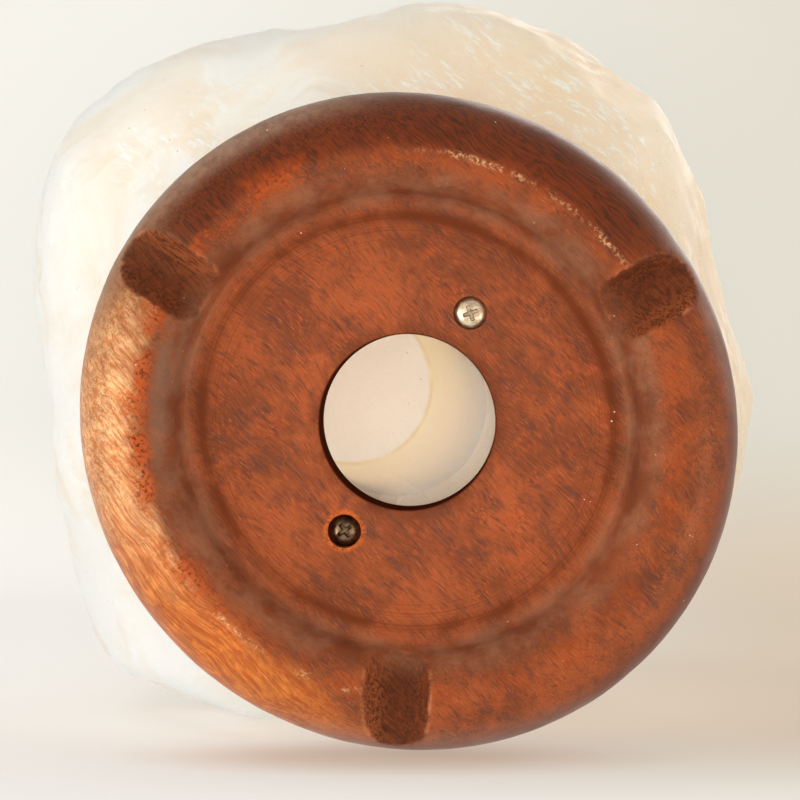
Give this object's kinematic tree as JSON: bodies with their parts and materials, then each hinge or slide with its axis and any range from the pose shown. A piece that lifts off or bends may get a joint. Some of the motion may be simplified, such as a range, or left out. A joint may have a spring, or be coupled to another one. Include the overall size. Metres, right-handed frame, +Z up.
{
  "type": "salt crystal lamp",
  "caption": "Rough rock-salt lamp body with a blind bore, screwed to a round turned wooden base with a recessed underside, a central hole and cord notches.",
  "frame": {"origin": "on the resting plane, under the middle of the lamp's outline; the axis of the round base stands at X 7.15 mm, Y 12.3 mm", "axes": "+Z up the standing lamp; +Y towards the side with the back notch, on which the pictured lamp lies"},
  "size_m": [0.1786, 0.177, 0.223],
  "materials": {
    "rock_salt": "rough, frosted, cloudy rock salt, pale pink",
    "stained_wood": "red-brown stain under a thin worn polish",
    "bright_steel": "zinc-plated, dulled",
    "dark_steel": "tarnished",
    "plug_nylon": "moulded grey nylon"
  },
  "bodies": {
    "root": {"salt_crystal": "rock_salt", "wooden_base": "stained_wood", "screw_upper_right": "bright_steel", "screw_lower_left": "dark_steel", "wall_plug_upper_right": "plug_nylon", "wall_plug_lower_left": "plug_nylon"}
  },
  "joints": []
}
